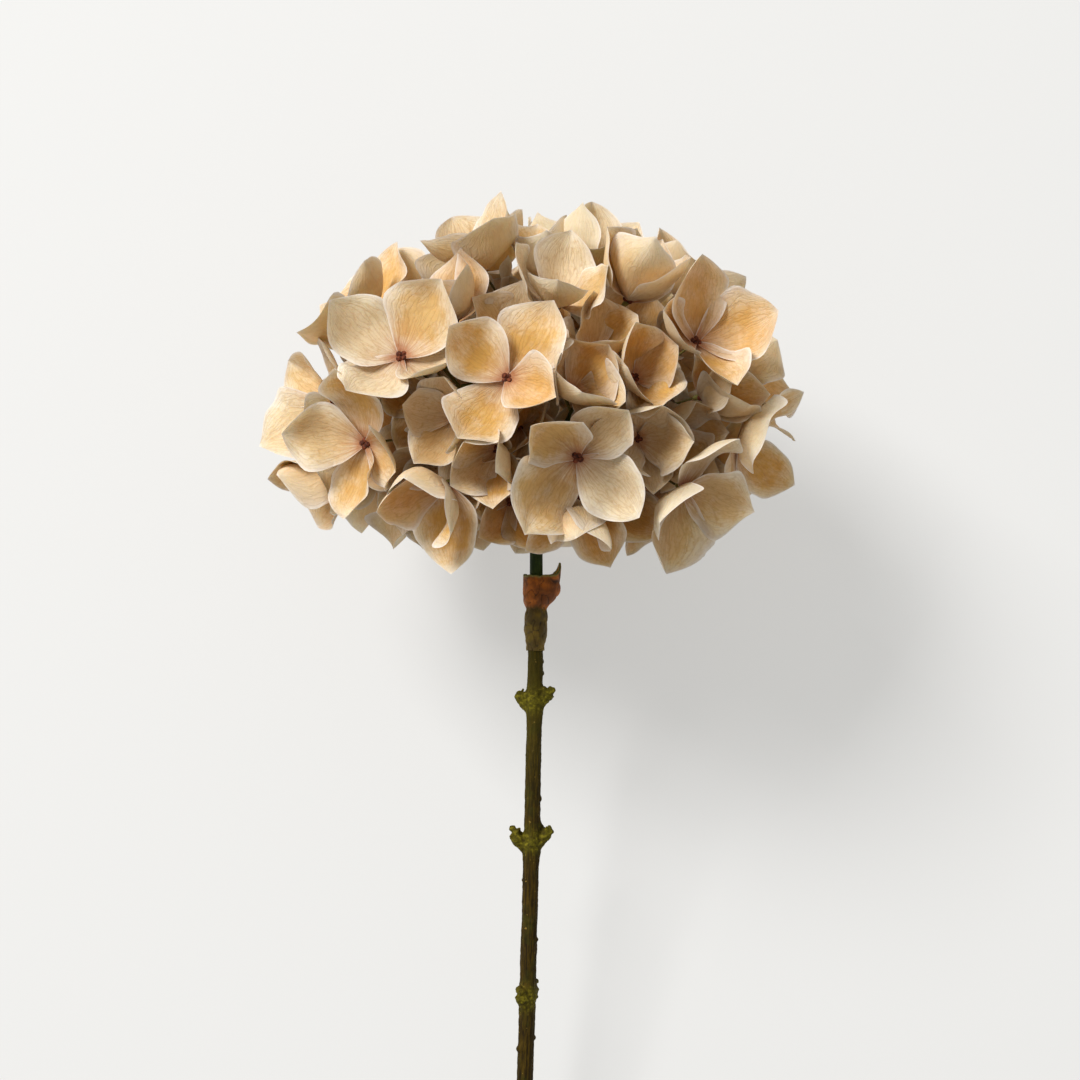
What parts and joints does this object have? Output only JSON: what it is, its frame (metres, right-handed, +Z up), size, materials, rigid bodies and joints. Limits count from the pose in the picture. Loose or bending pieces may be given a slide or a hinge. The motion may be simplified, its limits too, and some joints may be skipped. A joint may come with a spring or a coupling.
{
  "type": "cut hydrangea stem",
  "caption": "Cut mophead hydrangea lying down: a dome of cream four-sepalled florets on a branching green stalk, with a papery sheath and a woody stem.",
  "frame": {"origin": "middle of the bounding box at the surface that the flower lies on", "axes": "+Y from the cut end towards the flower head, +Z up, the side seen in the picture facing up"},
  "size_m": [0.1792, 0.4146, 0.1741],
  "materials": {
    "sepals": "matt, finely veined",
    "green_stalk": "matt green",
    "sheath": "dry and papery",
    "bark": "dull bark"
  },
  "bodies": {
    "root": {"floret_01": "sepals", "floret_02": "sepals", "floret_03": "sepals", "floret_04": "sepals", "floret_05": "sepals", "floret_06": "sepals", "floret_07": "sepals", "floret_08": "sepals", "floret_09": "sepals", "floret_10": "sepals", "floret_11": "sepals", "floret_12": "sepals", "floret_13": "sepals", "floret_14": "sepals", "floret_15": "sepals", "floret_16": "sepals", "floret_17": "sepals", "floret_18": "sepals", "floret_19": "sepals", "floret_20": "sepals", "floret_21": "sepals", "floret_22": "sepals", "floret_23": "sepals", "floret_24": "sepals", "floret_25": "sepals", "floret_26": "sepals", "floret_27": "sepals", "floret_28": "sepals", "floret_29": "sepals", "floret_30": "sepals", "floret_31": "sepals", "floret_32": "sepals", "floret_33": "sepals", "floret_34": "sepals", "floret_35": "sepals", "floret_36": "sepals", "floret_37": "sepals", "floret_38": "sepals", "floret_39": "sepals", "floret_40": "sepals", "floret_41": "sepals", "floret_42": "sepals", "floret_43": "sepals", "floret_44": "sepals", "floret_45": "sepals", "floret_46": "sepals", "floret_47": "sepals", "floret_48": "sepals", "floret_49": "sepals", "floret_50": "sepals", "floret_51": "sepals", "floret_52": "sepals", "floret_53": "sepals", "floret_54": "sepals", "floret_55": "sepals", "floret_56": "sepals", "flower_stalk": "green_stalk", "papery_sheath": "sheath", "woody_stem": "bark"}
  },
  "joints": []
}
